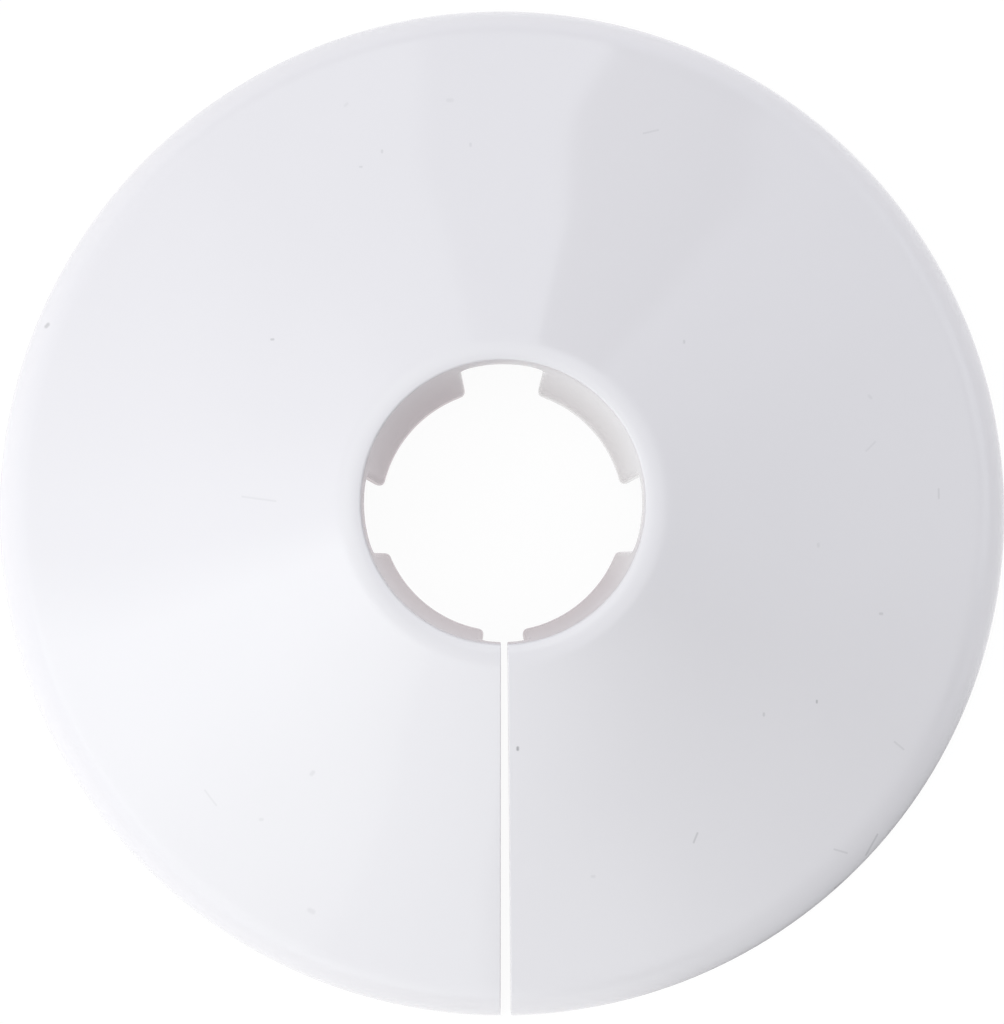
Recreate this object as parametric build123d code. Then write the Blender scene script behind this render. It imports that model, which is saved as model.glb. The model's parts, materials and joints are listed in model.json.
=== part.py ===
from build123d import *

import os
from math import asin, atan2, cos, degrees, hypot, radians, sin, tan

# Split escutcheon: a one-piece moulded cover ring for a 15 mm pipe.
# A shallow cone with a rolled outer edge hides the hole round the pipe. Sprung fingers hang from its
# neck and grip the pipe, and one straight slit lets the ring open and slip over a pipe already in place.
# Millimetres, +Z up along the pipe. The origin is on the pipe's axis, in the plane of the rim's foot.
# The slit runs along -Y.

# Overall form
outer_diameter = 55.0
height = 11.0  # rim's foot to the crest of the neck
wall = 1.2  # cone, square to its surface
rim_radius = 3.0  # rolled outer edge
rim_land = 0.4  # upright part of the outer edge, below its rounding

# Neck and pipe hole
pipe_diameter = 15.0
pipe_clearance = 0.12  # between the pipe and the lip's edge, each side
crown_radius = 2.4  # cone over the crest to the lip's edge
lip_turn = 10.0  # degrees that the crown carries on past the crest
bore_edge_chamfer = 0.12  # lip into the bore
neck_band = 0.35  # plain ring between the cone's underside and the gaps

# Grip fingers, mirrored about the slit
finger_pairs = 2
slit_gap = 18.0  # degrees between the two fingers beside the slit
side_gap = 32.0  # degrees between fingers at the sides
back_gap = 34.0  # degrees between the two fingers opposite the slit
finger_wall = 1.0  # at the lip
tip_wall = 0.6  # at the tip
grip_diameter = 13.2  # across the fingers' tips before a pipe spreads them
grip_land = 2.0  # upright face at each tip, which bears on the pipe
land_blend_radius = 4.0  # leaning face into the upright face at the tip
tip_lift = 1.0  # fingers' tips above the rim's foot
gap_root_radius = 0.6  # top corners of the gaps
tip_corner_radius = 0.5  # bottom corners of the fingers
finger_edge_chamfer = 0.15

# Slit, which opens a little towards the rim
slit_width = 0.36  # at the lip's edge
slit_mouth = 0.56  # at the rim

# Directions in degrees from +X
slit_angle = -90
back_angle = slit_angle + 180

# How near an edge or a normal has to be to count as lying in a plane
tolerance = 1e-3

# The crown's arc runs over the crest and ends at the lip's edge
outer_radius = outer_diameter / 2
grip_radius = grip_diameter / 2
bore_radius = pipe_diameter / 2 + pipe_clearance
crest_radius = bore_radius + crown_radius * sin(radians(lip_turn))
crown_center = (crest_radius, height - crown_radius)
lip_z = crown_center[1] + crown_radius * cos(radians(lip_turn))

# Leaning faces of the neck and fingers: both are straight from the tips up to the height of the lip's edge
land_top = tip_lift + grip_land
lean = degrees(atan2(bore_radius - grip_radius, lip_z - land_top))
taper = (bore_radius + finger_wall - grip_radius - tip_wall) / (lip_z - tip_lift)


def back_radius(z):
    """Radius of the face away from the pipe at a height."""
    return grip_radius + tip_wall + (z - tip_lift) * taper


# The cone is tangent to the crown's arc and the rim's arc, and its underside is parallel to it
rim_center = (outer_radius - rim_radius, rim_land)
run = rim_center[0] - crown_center[0]
drop = crown_center[1] - rim_center[1]
slope = degrees(atan2(drop, run) + asin((crown_radius - rim_radius) / hypot(run, drop)))

rim = CenterArc(rim_center, rim_radius, 0, 90 - slope)
crown = CenterArc(crown_center, crown_radius, 90 - slope, slope + lip_turn)
inner_rim = CenterArc(rim_center, rim_radius - wall, 90 - slope, slope - 90)

# The backs of the fingers meet the underside at their root, and the gaps end a little below it
fall = tan(radians(slope))
root_z = ((inner_rim @ 0).Y + ((inner_rim @ 0).X - back_radius(0)) * fall) / (1 + taper * fall)
neck_bottom = root_z - neck_band

slit_flare = (slit_mouth - slit_width) / 2 / (outer_radius - bore_radius)
side_gaps = 2 * (finger_pairs - 1)
finger_span = (360 - slit_gap - back_gap - side_gaps * side_gap) / (2 * finger_pairs)


def corner(face, point):
    """The corner of a face nearest a point."""
    return face.vertices().sort_by_distance((*point, 0))[0]


def collar_section():
    """Half section through a finger: X is the radius and Y the height."""
    foot = (outer_radius, 0)
    land_corner = (grip_radius, land_top)
    section = make_face(
        [
            Line(foot, rim @ 0),
            rim,
            Line(rim @ 1, crown @ 0),
            crown,
            Polyline(
                crown @ 1,
                land_corner,
                (grip_radius, tip_lift),
                (back_radius(tip_lift), tip_lift),
                (back_radius(root_z), root_z),
                inner_rim @ 0,
            ),
            inner_rim,
            Polyline(inner_rim @ 1, (outer_radius - wall, 0), foot),
        ]
    )
    section = fillet(corner(section, land_corner), land_blend_radius)
    return chamfer(corner(section, (bore_radius, lip_z)), bore_edge_chamfer)


def radial_edges(shape, z):
    """Straight edges that lie level at a height."""
    return shape.edges().filter_by(GeomType.LINE).filter_by_position(Axis.Z, z - tolerance, z + tolerance)


def gap_wedge(middle, span):
    """Space between two fingers, centred on an angle, from the rim's foot up to the neck.

    In plan it is a sector of a band that is wider than the fingers, and its top edges are rounded.
    """
    inner = CenterArc((0, 0), grip_radius - finger_wall, middle - span / 2, span)
    outer = CenterArc((0, 0), back_radius(root_z), middle - span / 2, span)
    plan = make_face([inner, Line(inner @ 1, outer @ 1), outer, Line(outer @ 0, inner @ 0)])
    wedge = extrude(plan, neck_bottom)
    return fillet(radial_edges(wedge, neck_bottom), gap_root_radius)


def gap_wedges():
    """The gaps beside the slit, opposite it, and between the fingers at the sides."""
    wedges = [gap_wedge(slit_angle, slit_gap), gap_wedge(back_angle, back_gap)]
    first = (slit_gap + side_gap) / 2 + finger_span
    for place in range(finger_pairs - 1):
        turn = first + place * (finger_span + side_gap)
        wedges += [gap_wedge(slit_angle + turn, side_gap), gap_wedge(slit_angle - turn, side_gap)]
    return wedges


def is_gap_face(face):
    """Whether a face was left by a gap: it lies between a finger's two faces and never faces the pipe."""
    middle = face.center()
    outward = Vector(middle.X, middle.Y, 0)
    in_band = grip_radius < outward.length < back_radius(root_z)
    below_neck = middle.Z < neck_bottom + tolerance
    return in_band and below_neck and abs(face.normal_at(middle).dot(outward.normalized())) < tolerance


def outline(faces):
    """Edges round a set of faces, without those that two of the faces share."""
    edges = [edge for face in faces for edge in face.edges()]
    return [edge for edge in edges if edges.count(edge) == 1]


def slit_cutter():
    """Upright wedge along -Y, from the pipe's axis to past the rim."""
    reach = outer_radius + wall
    near = slit_width / 2 - bore_radius * slit_flare
    far = near + reach * slit_flare
    plan = make_face(Polyline((-near, 0), (near, 0), (far, -reach), (-far, -reach), close=True))
    return extrude(plan, height, dir=(0, 0, 1))


def collar():
    """The whole ring: a turned section, gaps cut between the fingers, and the slit cut through one side."""
    ring = revolve(Plane.XZ * collar_section(), Axis.Z)
    ring -= gap_wedges()
    ring = fillet(radial_edges(ring, tip_lift), tip_corner_radius)
    ring = chamfer(outline(filter(is_gap_face, ring.faces())), finger_edge_chamfer)
    return ring - slit_cutter()


os.makedirs("parts", exist_ok=True)
export_step(collar(), "parts/collar.step")
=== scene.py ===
import json
from math import acos, asin, atan, atan2, cos, hypot, radians, sin, tan

import bmesh
import bpy
import numpy as np
from mathutils import Matrix, Vector


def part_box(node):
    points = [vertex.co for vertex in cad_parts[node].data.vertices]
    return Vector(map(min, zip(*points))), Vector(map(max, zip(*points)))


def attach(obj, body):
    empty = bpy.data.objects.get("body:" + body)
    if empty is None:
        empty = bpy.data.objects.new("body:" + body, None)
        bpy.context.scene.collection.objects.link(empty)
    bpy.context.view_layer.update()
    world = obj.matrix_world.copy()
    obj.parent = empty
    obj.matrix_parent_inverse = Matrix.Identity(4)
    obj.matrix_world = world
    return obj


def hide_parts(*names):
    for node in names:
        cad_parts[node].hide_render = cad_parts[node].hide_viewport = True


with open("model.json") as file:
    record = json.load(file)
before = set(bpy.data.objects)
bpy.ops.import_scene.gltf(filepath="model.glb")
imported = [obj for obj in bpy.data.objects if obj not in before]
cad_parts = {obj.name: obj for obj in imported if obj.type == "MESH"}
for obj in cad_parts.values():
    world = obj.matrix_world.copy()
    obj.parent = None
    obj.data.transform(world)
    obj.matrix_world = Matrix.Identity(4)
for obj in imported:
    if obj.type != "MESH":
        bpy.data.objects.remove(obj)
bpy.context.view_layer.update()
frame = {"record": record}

# Split escutcheon in white plastic: one moulded ring with a slit and four grip fingers.
# Metres, +Z up along the pipe. The origin is on the pipe's axis, in the plane of the rim's foot.
# The slit runs along -Y.

MM = 0.001

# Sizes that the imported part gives
high_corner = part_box("collar")[1]
outer_radius = high_corner.x
height = high_corner.z
pipe_grip = next(mount for mount in frame["record"]["mounts"] if mount["name"] == "pipe_grip")
grip_radius = pipe_grip["dims"]["r_mm"] * MM

# Cone and rim
wall = 1.2 * MM
rim_radius = 3.0 * MM
rim_land = 0.4 * MM
crown_radius = 2.4 * MM
foot_edge_radius = 0.1 * MM

# Neck: the crown's arc carries on past its crest to the lip
lip_turn = radians(10)
bore_radius = 7.62 * MM
bore_edge_radius = 0.15 * MM
root_radius = 0.05 * MM
neck_band = 0.35 * MM

# Grip fingers, and the gaps between them in order round the pipe from the slit
finger_wall = 1.0 * MM
tip_wall = 0.6 * MM
tip_lift = 1.0 * MM
grip_land = 2.0 * MM
land_blend_radius = 4.0 * MM
gap_root_radius = 0.6 * MM
tip_corner_radius = 0.5 * MM
finger_edge_radius = 0.28 * MM
slit_gap = radians(18)
finger_gaps = [radians(32), radians(34), radians(32)]

# Slit, which opens a little from the lip to the rim
slit_width = 0.36 * MM
slit_mouth = 0.56 * MM
slit_angle = radians(-90)
slit_edge_radius = 0.05 * MM

# How finely the surfaces are divided
run_step = 0.7 * MM
finger_columns = 40
gap_columns = 16
edge_steps = 4
bore_edge_steps = 8
crown_steps = 16
rim_steps = 24
inner_rim_steps = 10
root_steps = 6
gap_corner_steps = 10
tip_corner_steps = 8
weld_distance = 0.0001 * MM

# Gloss: its roughness varies between clean and touched patches
plastic_ior = 1.49
clean_roughness = 0.03
touched_roughness = 0.09
touch_size = 5 * MM
touch_detail = 3

# Waviness of the gloss: its origin is set so that reflections bend where they do on the real one
wave_length = 12 * MM
wave_height = 0.45 * MM
wave_origin = (205 * MM, 275 * MM, 330 * MM)

# Dust and lint on the gloss, in plan and in millimetres: the ends of each mark, its half width, and how far
# it darkens the white
lint_marks = [
    ((-24.8, 10.2), (-24.7, 10.3), 0.10, 0.30), ((-6.4, 19.3), (-6.4, 19.4), 0.06, 0.15),
    ((-7.6, 18.5), (-7.5, 18.5), 0.05, 0.15), ((-8.4, 22.0), (-8.3, 22.1), 0.08, 0.07),
    ((-2.8, 22.2), (-2.6, 22.2), 0.11, 0.07), ((-1.6, 19.6), (-1.6, 19.7), 0.07, 0.11),
    ((-12.4, 9.0), (-12.3, 9.0), 0.06, 0.25), ((9.8, 8.6), (9.8, 8.7), 0.06, 0.16),
    ((19.9, 5.9), (20.0, 5.8), 0.08, 0.08), ((-10.4, -14.4), (-10.3, -14.3), 0.10, 0.11),
    ((-10.6, -21.7), (-10.4, -21.8), 0.12, 0.09), ((-13.2, -16.8), (-13.1, -16.8), 0.08, 0.09),
    ((0.7, -13.1), (0.7, -13.2), 0.07, 0.50), ((14.0, -11.3), (14.0, -11.4), 0.06, 0.19),
    ((16.9, -10.6), (16.9, -10.7), 0.05, 0.36), ((20.4, -5.9), (20.5, -5.9), 0.07, 0.18),
    ((4.7, -20.0), (4.8, -20.0), 0.08, 0.09), ((17.0, -2.2), (17.0, -2.3), 0.08, 0.09),
    ((-14.0, 0.5), (-12.2, 0.2), 0.05, 0.08), ((7.8, 20.3), (8.6, 20.5), 0.05, 0.10),
    ((19.7, 2.9), (20.2, 3.4), 0.05, 0.08), ((23.7, 0.9), (23.7, 0.4), 0.05, 0.13),
    ((-16.2, -15.2), (-15.6, -16.0), 0.05, 0.08), ((21.2, -12.8), (21.7, -13.2), 0.05, 0.12),
    ((10.4, -17.7), (10.2, -18.2), 0.05, 0.22), ((17.9, -18.6), (18.6, -18.8), 0.05, 0.14),
    ((19.7, -18.9), (20.3, -17.8), 0.05, 0.20), ((18.0, -20.7), (18.5, -20.3), 0.05, 0.20),
]
lint_fade = 0.5  # share of the half width over which a mark's edge fades, each way

# Camera: almost straight above, a little towards the slit. The rim's radius and the image are in pixels.
image_width = 1004
rim_in_image = 502.5
camera_distance = 450 * MM
camera_tilt = radians(3)
camera_turn = radians(7)
camera_roll = radians(0.4)
sensor_width = 36

# Light tent: panels as (degrees from +X, level) round its skirt, and in the rings above it.
# A lamp stands at its left front, and a dark flag at its right front.
skirt_panels = [
    (-180, 1), (-125, 1.2), (-95, 1.4), (-78, 0.5), (-30, 0.2), (-8, 0.9), (5, 1.3), (50, 1.2), (80, 1),
    (180, 1),
]
low_panels = [
    (-180, 1.1), (-150, 1.4), (-125, 1.7), (-100, 1.8), (-90, 1.4), (-76, 0), (-20, 0), (0, 1.5), (20, 1.6),
    (45, 1.4), (60, 0.9), (90, 0.5), (120, 0.5), (150, 0.8), (180, 1.1),
]
middle_panels = [
    (-180, 1.3), (-166, 2.4), (-148, 2.4), (-126, 2.1), (-116, 1.7), (-115, 1.4), (-91, 1.5), (-89, 0.7),
    (-60, 0.1), (-30, 0), (0, 0.6), (30, 0.9), (54, 0.7), (57, 0.1), (77.3, 0), (77.9, 1.3), (97, 0.9),
    (99, 1.4), (125, 0.9), (150, 0.9), (180, 1.3),
]
top_panels = [(-180, 2), (-90, 0.7), (0, 1.1), (90, 1.5), (180, 2)]

# Each ring takes over from the one below it between two heights, where 0 is level and 1 is overhead
tent_rings = [(low_panels, 0, 0.2), (middle_panels, 0.25, 0.45), (top_panels, 0.75, 0.92)]
brightest_level = 3  # that a ring's colours can hold
tent_gain = 1.04  # on all panels together
tent_tint = np.array([0.97, 1, 1.07])
lamp_tint = np.array([0.955, 1, 0.98])
lamp_angle = radians(-140)
flag_angle = radians(-48)

# Card floor: half its width, its glow and matt share where it is seen, and the light from beneath it
floor_half = 1500 * MM
floor_glow = 0.95
floor_matt = 0.06
floor_backlight = 0.3

# Painted light and shade on the floor: where the painted shade below the collar is full, where painted
# lamp light across the hole starts and is full, and the cosines of the angles from the flag at which its
# painted dark starts and is full
full_shade = 0.7 * outer_radius
lamp_start = 0.2 * bore_radius
lamp_full = 0.6 * bore_radius
flag_start = 0.85
flag_full = 0.98

# Crown, and the leaning faces of the neck and fingers that start at its lip
crown_center = np.array([bore_radius + crown_radius * sin(lip_turn), height - crown_radius])
lip_z = crown_center[1] + crown_radius * cos(lip_turn)
land_top = tip_lift + grip_land
lean = atan2(bore_radius - grip_radius, lip_z - land_top)
taper = (bore_radius + finger_wall - grip_radius - tip_wall) / (lip_z - tip_lift)

# Cone, tangent to the crown's arc and the rim's arc
rim_center = np.array([outer_radius - rim_radius, rim_land])
run, rise = rim_center - crown_center
slope = atan2(-rise, run) + asin((crown_radius - rim_radius) / hypot(run, rise))
cone_normal = np.array([sin(slope), cos(slope)])

# Where the backs of the fingers meet the cone's underside, and where the gaps end below that
under_start = rim_center + (rim_radius - wall) * cone_normal
back_foot = grip_radius + tip_wall - tip_lift * taper
root_z = (under_start[1] + (under_start[0] - back_foot) * tan(slope)) / (1 + taper * tan(slope))
neck_bottom = root_z - neck_band

# Slit's faces: each leans from the slit's line by an angle and passes the pipe's axis at a distance
slit_flare = (slit_mouth - slit_width) / 2 / (outer_radius - bore_radius)
slit_spread = atan(slit_flare)
slit_near = (slit_width / 2 - bore_radius * slit_flare) * cos(slit_spread)

# Fingers of equal width fill what the gaps leave
fingers = len(finger_gaps) + 1
finger_half = (radians(360) - slit_gap - sum(finger_gaps)) / fingers / 2
finger_steps = np.cumsum([0, *finger_gaps]) + 2 * finger_half * np.arange(fingers)
finger_middles = slit_angle + slit_gap / 2 + finger_half + finger_steps


def face_radius(z):
    """Radius of the face towards the pipe: upright below, then an arc, then a line that leans out."""
    blend_low = land_top - land_blend_radius * tan(lean / 2)
    blend_high = blend_low + land_blend_radius * sin(lean)
    rise_in_arc = np.clip(z - blend_low, 0, blend_high - blend_low)
    arc_out = land_blend_radius - np.sqrt(land_blend_radius ** 2 - rise_in_arc ** 2)
    return grip_radius + arc_out + np.maximum(z - blend_high, 0) * tan(lean)


def back_radius(z):
    """Radius of the face away from the pipe, a straight line in height."""
    return back_foot + z * taper


def arc(center, radius, start, end, steps, hollow=False):
    """Points on a circle between two angles in degrees, with their normals out of the plastic."""
    angles = np.radians(np.linspace(start, end, steps + 1))
    spokes = np.stack([np.cos(angles), np.sin(angles)], axis=1)
    return center + radius * spokes, -spokes if hollow else spokes


def chain(*pieces):
    """Joins arcs by the straight lines between them, each divided into equal steps of about run_step."""
    points, normals = [pieces[0][0]], [pieces[0][1]]
    for next_points, next_normals in pieces[1:]:
        start, end = points[-1][-1], next_points[0]
        steps = int(np.linalg.norm(end - start) / run_step) + 1
        inside = np.linspace(start, end, steps + 1)[1:-1]
        points += [inside, next_points]
        normals += [np.repeat(next_normals[:1], len(inside), axis=0), next_normals]
    return np.concatenate(points), np.concatenate(normals)


def shell_section():
    """Half section of the ring as (radius, height), from the bore over the cone and rim to the neck's back.

    It starts and ends just above the gaps, where the rounding of the neck's lower edges begins.
    """
    steep, tilt = np.degrees(lean), np.degrees(slope)
    edge_z = neck_bottom + finger_edge_radius
    face_normal = np.array([-cos(lean), sin(lean)])
    back_normal = np.array([1, -taper]) / hypot(1, taper)
    # The bore's edge is an arc inside the crown's arc, and touches it and the leaning face
    inner_radius = crown_radius - bore_edge_radius
    reach = face_normal @ (np.array([grip_radius, land_top]) - crown_center) - bore_edge_radius
    lip_end = radians(180) - lean - acos(reach / inner_radius)
    bore_edge_center = crown_center + inner_radius * np.array([cos(lip_end), sin(lip_end)])
    # The root's hollow arc touches the underside and the neck's back
    lines = np.array([-cone_normal, back_normal])
    feet = [-cone_normal @ under_start, back_normal @ (back_foot, 0)]
    root_center = np.linalg.solve(lines, np.array(feet) + root_radius)
    back_angle = 180 - np.degrees(np.arctan(taper))
    foot_in = outer_radius - wall
    return chain(
        (np.array([[face_radius(edge_z), edge_z]]), face_normal[None]),
        arc(bore_edge_center, bore_edge_radius, 180 - steep, np.degrees(lip_end), bore_edge_steps),
        arc(crown_center, crown_radius, np.degrees(lip_end), 90 - tilt, crown_steps),
        arc(rim_center, rim_radius, 90 - tilt, 0, rim_steps),
        arc((outer_radius - foot_edge_radius, foot_edge_radius), foot_edge_radius, 0, -90, edge_steps),
        arc((foot_in + foot_edge_radius, foot_edge_radius), foot_edge_radius, -90, -180, edge_steps),
        arc(rim_center, rim_radius - wall, 0, 90 - tilt, inner_rim_steps, hollow=True),
        arc(root_center, root_radius, 90 - tilt, back_angle, root_steps, hollow=True),
        (np.array([[back_radius(edge_z), edge_z]]), back_normal[None]),
    )


def finger_edge():
    """One side of a finger as (offset along the ring, height), from the gap's rounded corner to its tip's."""
    gap_corner = (gap_root_radius, neck_bottom - gap_root_radius)
    tip_corner = (-tip_corner_radius, tip_lift + tip_corner_radius)
    return chain(
        arc(gap_corner, gap_root_radius, 90, 180, gap_corner_steps, hollow=True),
        arc(tip_corner, tip_corner_radius, 0, -90, tip_corner_steps),
    )


def gap_stretches():
    """Angle and offset of the columns in each gap, in order.

    They are evenly spaced, but beside the slit their spacing grows with the square of the share.
    """
    slit_offset = slit_near + slit_edge_radius
    starts = np.array([[slit_angle + slit_spread, slit_offset],
                       *([middle + finger_half, gap_root_radius] for middle in finger_middles)])
    ends = np.array([*([middle - finger_half, -gap_root_radius] for middle in finger_middles),
                     [slit_angle - slit_spread + radians(360), -slit_offset]])
    even = np.linspace(0, 1, gap_columns + 1)
    shares = [even ** 2, *[even] * (fingers - 1), 1 - even[::-1] ** 2]
    return [start + (end - start) * share[:, None] for start, end, share in zip(starts, ends, shares)]


def ring_points(angle, offset, radius, z):
    """Points at a height and radius whose direction is an angle plus a sideways offset in metres."""
    turn = angle + np.arcsin(offset / radius)
    return np.stack(np.broadcast_arrays(radius * np.cos(turn), radius * np.sin(turn), z), axis=-1)


def shell_grid(section, across, gaps):
    """The section turned round the axis, in columns that follow the gaps and fingers."""
    columns = [gaps[0]]
    for middle, gap in zip(finger_middles, gaps[1:]):
        finger = np.stack([middle + across * finger_half, across * gap_root_radius], axis=1)
        columns += [finger[1:-1], gap]
    angle, offset = np.concatenate(columns).T
    return ring_points(angle, offset, section[:, :1], section[:, 1:])


def finger_grids(edge, edge_normals, across, middle):
    """A finger's face and back: rows go down the finger, and each row spans it from edge to edge."""
    side, z = (edge - finger_edge_radius * edge_normals).T[:, :, None]
    angle = middle + across * finger_half
    face = ring_points(angle, across * side, face_radius(z), z)
    back = ring_points(angle, across * side, back_radius(z), z)
    return face, back


def roll(radius):
    """Inset and depth over a quarter circle that rounds an edge: radius times 1 - sine and 1 - cosine."""
    turn = np.linspace(0, np.pi / 2, edge_steps + 1)
    return radius * (1 - np.sin(turn)), radius * (1 - np.cos(turn))


def edge_band_grid(edge, edge_normals, across, gaps):
    """The wall's lower edge, followed from slit to slit along gaps, finger sides and tips.

    Across it, a quarter circle leads from the back into the edge, and another from the edge to the face.
    """
    inner = across[1:-1]
    sides = np.concatenate([np.full(len(edge), -1), inner, np.full(len(edge), 1)])
    line = np.concatenate([edge, np.tile(edge[-1], (len(inner), 1)), edge[::-1]])
    tip_normals = np.tile(edge_normals[-1], (len(inner), 1))
    inward = -np.concatenate([edge_normals, tip_normals, edge_normals[::-1]])
    gap_paths = [np.column_stack([gap, np.tile([neck_bottom, 0, 1], (len(gap), 1))]) for gap in gaps]
    path = gap_paths[:1]
    for middle, gap_path in zip(finger_middles, gap_paths[1:]):
        finger_path = np.column_stack([middle + sides * finger_half, sides * line[:, 0], line[:, 1],
                                       sides * inward[:, 0], inward[:, 1]])
        path += [finger_path[1:-1], gap_path]
    angle, side, z, inward_side, inward_z = np.concatenate(path).T[:, :, None]
    inset, depth = roll(finger_edge_radius)
    rows = []
    for radius, into, order in ((back_radius, -1, 1), (face_radius, 1, -1)):
        row_z = z + inward_z * inset[::order]
        row_radius = radius(row_z) + into * depth[::order]
        rows.append(ring_points(angle, side + inward_side * inset[::order], row_radius, row_z))
    return np.concatenate(rows, axis=1)


def slit_loop(section, section_normals):
    """The closed section beside the slit as (radius, height) with normals.

    It is the shell's section and then the neck's lower edge, a quarter circle from each face.
    """
    inset, depth = roll(finger_edge_radius)
    z = neck_bottom + inset
    back = np.stack([back_radius(z) - depth, z], axis=1)
    face = np.stack([face_radius(z) + depth, z], axis=1)
    spokes = np.stack([finger_edge_radius - depth, inset - finger_edge_radius], axis=1)
    back_normals = spokes / finger_edge_radius
    face_normals = back_normals * (-1, 1)
    points = np.concatenate([section, back[1:], face[:0:-1]])
    return points, np.concatenate([section_normals, back_normals[1:], face_normals[:0:-1]])


def slit_edge_grid(loop, loop_normals, side):
    """The loop shrunk over a quarter circle as it nears the slit's plane. side is 1 or -1."""
    inset, depth = roll(slit_edge_radius)
    radius, z = (loop[:, :, None] - loop_normals[:, :, None] * depth).transpose(1, 0, 2)
    return ring_points(slit_angle + side * slit_spread, side * (slit_near + inset), radius, z)


def grid_faces(rows, columns, closed, flip):
    """Corner numbers of each cell of a grid, in order round the cell."""
    row = np.arange(rows if closed else rows - 1)[:, None]
    column = np.arange(columns - 1)[None, :]
    here, below = row * columns + column, (row + 1) % rows * columns + column
    cells = np.stack([here, below, below + 1, here + 1], axis=-1).reshape(-1, 4)
    return cells[:, ::-1] if flip else cells


def join_grids(name, grids, caps):
    """One mesh from grids of points: (points, closed, flip) each. Caps are rings of points, filled flat."""
    points, faces, count = [], [], 0
    for grid, closed, flip in grids:
        rows, columns = grid.shape[:2]
        points.append(grid.reshape(-1, 3))
        faces += (grid_faces(rows, columns, closed, flip) + count).tolist()
        count += rows * columns
    smooth = len(faces)
    for ring in caps:
        points.append(ring)
        faces.append(list(range(count, count + len(ring))))
        count += len(ring)
    mesh = bpy.data.meshes.new(name)
    mesh.from_pydata(np.concatenate(points).tolist(), [], faces)
    mesh.polygons.foreach_set("use_smooth", np.arange(len(faces)) < smooth)
    return mesh


def weld(mesh):
    """Merges the points where grids meet and turns all faces outwards."""
    work = bmesh.new()
    work.from_mesh(mesh)
    bmesh.ops.remove_doubles(work, verts=work.verts, dist=weld_distance)
    bmesh.ops.recalc_face_normals(work, faces=work.faces)
    work.to_mesh(mesh)
    work.free()


def collar_mesh():
    """The whole ring: shell, fingers, the rounded lower edge that joins them, and the slit's two faces."""
    section, section_normals = shell_section()
    edge, edge_normals = finger_edge()
    across = np.linspace(-1, 1, finger_columns + 1)
    gaps = gap_stretches()
    grids = [
        (shell_grid(section, across, gaps), False, False),
        (edge_band_grid(edge, edge_normals, across, gaps), False, True),
    ]
    for middle in finger_middles:
        face, back = finger_grids(edge, edge_normals, across, middle)
        grids += [(face, False, True), (back, False, False)]
    loop, loop_normals = slit_loop(section, section_normals)
    right = slit_edge_grid(loop, loop_normals, 1)
    left = slit_edge_grid(loop, loop_normals, -1)
    grids += [(right, True, False), (left, True, True)]
    mesh = join_grids("collar_moulding", grids, [right[:, -1], left[::-1, -1]])
    weld(mesh)
    return mesh


def place(mesh, material):
    """Puts a mesh in the scene with its material."""
    piece = bpy.data.objects.new(mesh.name, mesh)
    piece.data.materials.append(material)
    bpy.context.scene.collection.objects.link(piece)
    return piece


def linear(hex_color):
    """Linear colour with alpha from an sRGB hex value."""
    value = np.array([int(hex_color[i:i + 2], 16) for i in (1, 3, 5)]) / 255
    value = np.where(value <= 0.04045, value / 12.92, ((value + 0.055) / 1.055) ** 2.4)
    return (*value.tolist(), 1)


def node(tree, kind, inputs=(), **settings):
    """Adds a node. Inputs are (socket, value or output to link) pairs, and settings are its properties."""
    made = tree.nodes.new(kind)
    for name, value in settings.items():
        setattr(made, name, value)
    for socket, value in inputs:
        if isinstance(value, bpy.types.NodeSocket):
            tree.links.new(value, made.inputs[socket])
        else:
            made.inputs[socket].default_value = value
    return made


def new_material(name):
    """An empty node material and its node tree."""
    material = bpy.data.materials.new(name)
    material.use_nodes = True
    material.node_tree.nodes.clear()
    return material, material.node_tree


def lint(tree, plan):
    """How far dust and lint darken the plastic, 0 to 1.

    Each mark is a line that fades with the distance from it, and the darkest mark at a place counts.
    """
    darkest = 0
    for start, end, half_width, depth in lint_marks:
        along = np.subtract(end, start) * MM
        from_start = node(tree, "ShaderNodeVectorMath", [(0, plan), (1, (*np.multiply(start, MM), 0))],
                          operation="SUBTRACT").outputs[0]
        share = node(tree, "ShaderNodeVectorMath", [(0, from_start), (1, (*along / (along @ along), 0))],
                     operation="DOT_PRODUCT").outputs["Value"]
        held = node(tree, "ShaderNodeClamp", [("Value", share)]).outputs[0]
        nearest = node(tree, "ShaderNodeVectorMath", [(0, (*along, 0)), ("Scale", held)],
                       operation="SCALE").outputs[0]
        away = node(tree, "ShaderNodeVectorMath", [(0, from_start), (1, nearest)],
                    operation="DISTANCE").outputs["Value"]
        mark = node(tree, "ShaderNodeMapRange", [
            ("Value", away),
            ("From Min", (1 + lint_fade) * half_width * MM),
            ("From Max", (1 - lint_fade) * half_width * MM),
            ("To Max", depth),
        ])
        darkest = node(tree, "ShaderNodeMath", [(0, darkest), (1, mark.outputs[0])],
                       operation="MAXIMUM").outputs[0]
    return darkest


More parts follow.
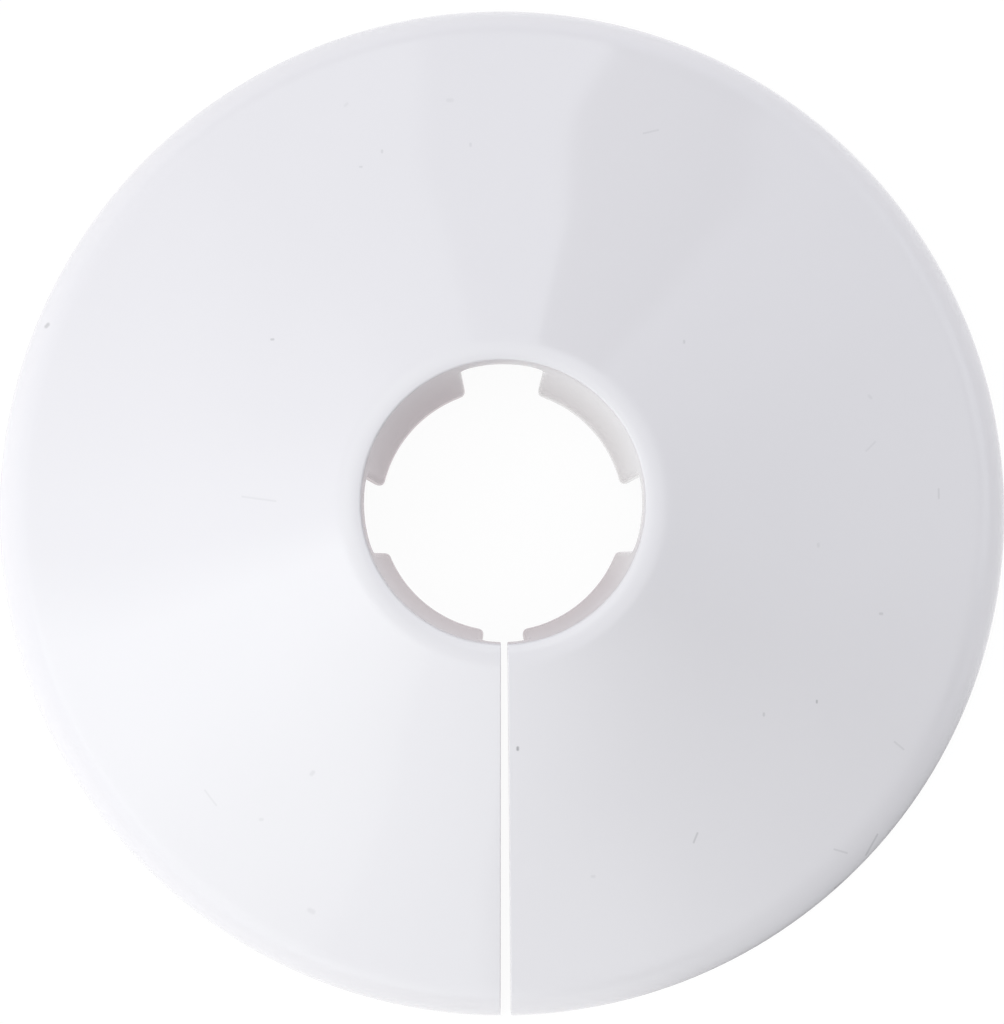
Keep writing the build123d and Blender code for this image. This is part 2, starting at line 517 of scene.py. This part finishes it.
def polypropylene():
    """Gloss white polypropylene from a polished mould: its reflections are clear but wavy, with some dust.

    The fingers' white is painted slightly warmer and darker from the neck to their tips, as painted shade in
    the bore.
    """
    material, tree = new_material("gloss_white_polypropylene")
    spot = node(tree, "ShaderNodeTexCoord").outputs["Object"]
    z = node(tree, "ShaderNodeSeparateXYZ", [(0, spot)]).outputs["Z"]
    plan = node(tree, "ShaderNodeVectorMath", [(0, spot), (1, (1, 1, 0))], operation="MULTIPLY").outputs[0]
    radius = node(tree, "ShaderNodeVectorMath", [(0, plan)], operation="LENGTH").outputs["Value"]
    # Painted shade in the bore: the white turns slightly warmer and darker from the lip down the fingers
    in_neck = node(tree, "ShaderNodeMapRange", [
        ("Value", radius), ("From Min", back_radius(root_z)), ("From Max", bore_radius)])
    painted_finger_shade = node(tree, "ShaderNodeMapRange", [
        ("Value", z), ("From Min", lip_z), ("From Max", land_top), ("To Max", in_neck.outputs[0])])
    white = node(tree, "ShaderNodeMixRGB", [
        (0, painted_finger_shade.outputs[0]), (1, linear("#DCD8DA")), (2, linear("#DCD4D5"))])
    dusty = node(tree, "ShaderNodeMixRGB", [
        (0, lint(tree, plan)), (1, white.outputs[0]), (2, linear("#4A484C"))])
    wave_place = node(tree, "ShaderNodeVectorMath", [(0, spot), (1, wave_origin)], operation="ADD").outputs[0]
    wave = node(tree, "ShaderNodeTexNoise", [
        ("Vector", wave_place), ("Scale", 1 / wave_length), ("Detail", 0)])
    bump = node(tree, "ShaderNodeBump", [("Height", wave.outputs["Fac"]), ("Distance", wave_height)])
    touch = node(tree, "ShaderNodeTexNoise", [
        ("Vector", spot), ("Scale", 1 / touch_size), ("Detail", touch_detail)])
    sheen = node(tree, "ShaderNodeMapRange", [
        ("Value", touch.outputs["Fac"]), ("To Min", clean_roughness), ("To Max", touched_roughness)])
    plastic = node(tree, "ShaderNodeBsdfPrincipled", [
        ("Base Color", dusty.outputs[0]),
        ("Roughness", sheen.outputs[0]),
        ("IOR", plastic_ior),
        ("Normal", bump.outputs["Normal"]),
    ])
    node(tree, "ShaderNodeOutputMaterial", [("Surface", plastic.outputs["BSDF"])])
    return material


def seen_directly(tree):
    """1 for rays from the camera and for mirror and see-through rays, 0 for light that bounces."""
    path = node(tree, "ShaderNodeLightPath").outputs
    seen = path["Is Camera Ray"]
    for ray in ("Is Glossy Ray", "Is Transmission Ray"):
        seen = node(tree, "ShaderNodeMath", [(0, seen), (1, path[ray])], operation="MAXIMUM").outputs[0]
    return seen


def floor_shares(tree):
    """Shares of the floor, 0 to 1: below the collar, in painted shade, in painted flag shade, and backlit.

    The space below the collar starts at the rim and holds painted shade, except where painted lamp light
    reaches it through the hole. Outside it, a sector before the flag is painted darker; the rest is backlit.
    The camera sees neither the painted shade nor the darker sector.
    """
    spot = node(tree, "ShaderNodeTexCoord").outputs["Object"]
    from_axis = node(tree, "ShaderNodeVectorMath", [(0, spot)], operation="LENGTH").outputs["Value"]
    below = node(tree, "ShaderNodeMapRange", [
        ("Value", from_axis), ("From Min", outer_radius), ("From Max", full_shade)]).outputs[0]
    across = node(tree, "ShaderNodeVectorMath", [(0, spot), (1, (-cos(lamp_angle), -sin(lamp_angle), 0))],
                  operation="DOT_PRODUCT").outputs["Value"]
    # Painted lamp light: lifts the painted shade below the collar across the hole from the lamp
    painted_lamp_light = node(tree, "ShaderNodeMapRange", [
        ("Value", across), ("From Min", lamp_start), ("From Max", lamp_full)]).outputs[0]
    way = node(tree, "ShaderNodeVectorMath", [(0, spot)], operation="NORMALIZE").outputs[0]
    ahead = node(tree, "ShaderNodeVectorMath", [(0, way), (1, (cos(flag_angle), sin(flag_angle), 0))],
                 operation="DOT_PRODUCT").outputs["Value"]
    # Painted flag shade: mirror rays see a sector of the floor before the flag painted darker
    before_flag = node(tree, "ShaderNodeMapRange", [
        ("Value", ahead), ("From Min", flag_start), ("From Max", flag_full)]).outputs[0]
    seen = node(tree, "ShaderNodeLightPath").outputs["Is Camera Ray"]
    shares = [below]
    for share, taken in ((below, (painted_lamp_light, seen)), (before_flag, (below, seen)), (1, (below, before_flag))):
        for part in taken:
            share = node(tree, "ShaderNodeMath", [(0, share), (1, part)],
                         operation="SUBTRACT", use_clamp=True).outputs[0]
        shares.append(share)
    return shares


def white_floor():
    """Matt white card, a little lit from beneath.

    Seen directly it glows almost to white, and its matt share keeps the object's shadow. Mirror rays meet
    painted shade: a dull rosy tone below the collar, and grey before the flag. Bounced light below the collar
    takes a rosy painted shade colour.
    """
    material, tree = new_material("matt_white_card")
    below, painted_shade, painted_flag_shade, backlit = floor_shares(tree)
    shown = linear("#FFFFFF")
    # Painted shade for mirror rays: rosy below the collar, grey before the flag
    for share, tone in ((painted_shade, "#E1DADC"), (painted_flag_shade, "#808080")):
        shown = node(tree, "ShaderNodeMixRGB", [(0, share), (1, shown), (2, linear(tone))]).outputs[0]
    glow = node(tree, "ShaderNodeEmission", [("Color", shown), ("Strength", floor_glow)])
    shadow = node(tree, "ShaderNodeBsdfDiffuse", [("Color", (floor_matt, floor_matt, floor_matt, 1))])
    seen = node(tree, "ShaderNodeAddShader", [(0, glow.outputs[0]), (1, shadow.outputs[0])])
    # Painted shade colour: the card below the collar is tinted rosy for light bounced into the bore
    tone = node(tree, "ShaderNodeMixRGB", [(0, below), (1, linear("#F2F2F2")), (2, linear("#F2EBED"))])
    card = node(tree, "ShaderNodeBsdfDiffuse", [("Color", tone.outputs[0])])
    backlight = node(tree, "ShaderNodeEmission", [("Color", backlit), ("Strength", floor_backlight)])
    bounced = node(tree, "ShaderNodeAddShader", [(0, card.outputs[0]), (1, backlight.outputs[0])])
    both = node(tree, "ShaderNodeMixShader", [
        (0, seen_directly(tree)), (1, bounced.outputs[0]), (2, seen.outputs[0])])
    node(tree, "ShaderNodeOutputMaterial", [("Surface", both.outputs[0])])
    return material


def floor():
    """A plain square of card under the collar."""
    half = floor_half
    corners = [(-half, -half, 0), (half, -half, 0), (half, half, 0), (-half, half, 0)]
    mesh = bpy.data.meshes.new("floor")
    mesh.from_pydata(corners, [], [(0, 1, 2, 3)])
    place(mesh, white_floor())


def tent_ring(tree, turn, panels):
    """Colour round the tent at one height. Panels over level 1 are the lamp's, and warmer."""
    ramp = node(tree, "ShaderNodeValToRGB", [("Fac", turn)])
    stops = ramp.color_ramp.elements
    for degree, _ in panels[1:-1]:
        stops.new((degree + 180) / 360)
    for stop, (_, level) in zip(stops, panels):
        lamp_share = min(max(level - 1, 0), 1)
        stop.color = (*level / brightest_level * (tent_tint + lamp_share * (lamp_tint - tent_tint)), 1)
    return ramp.outputs["Color"]


def light_tent():
    """A white tent lit by a lamp at its left: a skirt and rings of panels, each blended into the next."""
    world = bpy.data.worlds.new("light_tent")
    world.use_nodes = True
    tree = world.node_tree
    tree.nodes.clear()
    direction = node(tree, "ShaderNodeTexCoord").outputs["Generated"]
    parts = node(tree, "ShaderNodeSeparateXYZ", [(0, direction)]).outputs
    azimuth = node(tree, "ShaderNodeMath", [(0, parts["Y"]), (1, parts["X"])], operation="ARCTAN2")
    turn = node(tree, "ShaderNodeMapRange", [
        ("Value", azimuth.outputs[0]), ("From Min", -np.pi), ("From Max", np.pi)]).outputs[0]
    tent = tent_ring(tree, turn, skirt_panels)
    for panels, start, end in tent_rings:
        climb = node(tree, "ShaderNodeMapRange", [
            ("Value", parts["Z"]), ("From Min", start), ("From Max", end)], interpolation_type="SMOOTHSTEP")
        tent = node(tree, "ShaderNodeMixRGB", [
            (0, climb.outputs[0]), (1, tent), (2, tent_ring(tree, turn, panels))]).outputs[0]
    lit = node(tree, "ShaderNodeBackground", [("Color", tent), ("Strength", brightest_level * tent_gain)])
    plain = node(tree, "ShaderNodeBackground", [("Strength", 1)])
    seen = node(tree, "ShaderNodeLightPath").outputs["Is Camera Ray"]
    both = node(tree, "ShaderNodeMixShader", [(0, seen), (1, lit.outputs[0]), (2, plain.outputs[0])])
    node(tree, "ShaderNodeOutputWorld", [("Surface", both.outputs[0])])
    bpy.context.scene.world = world


def camera():
    """Looks down on the collar with +Y up in the image. The rim's radius in pixels sets the focal length."""
    target = Vector((0, 0, rim_land))
    lean_back = sin(camera_tilt)
    back = Vector((-lean_back * sin(camera_turn), -lean_back * cos(camera_turn), cos(camera_tilt)))
    right = Vector((sin(camera_roll), cos(camera_roll), 0)).cross(back).normalized()
    turned = Matrix((right, back.cross(right), back)).transposed()
    lens_data = bpy.data.cameras.new("camera")
    lens_data.sensor_fit = "HORIZONTAL"
    lens_data.sensor_width = sensor_width
    lens_data.lens = rim_in_image * camera_distance / outer_radius / image_width * sensor_width
    made = bpy.data.objects.new("camera", lens_data)
    made.location = target + camera_distance * back
    made.rotation_euler = turned.to_euler()
    bpy.context.scene.collection.objects.link(made)
    bpy.context.scene.camera = made


moulding = place(collar_mesh(), polypropylene())
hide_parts("collar")
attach(moulding, "root")

floor()
light_tent()
camera()
bpy.context.scene.view_settings.view_transform = "Standard"
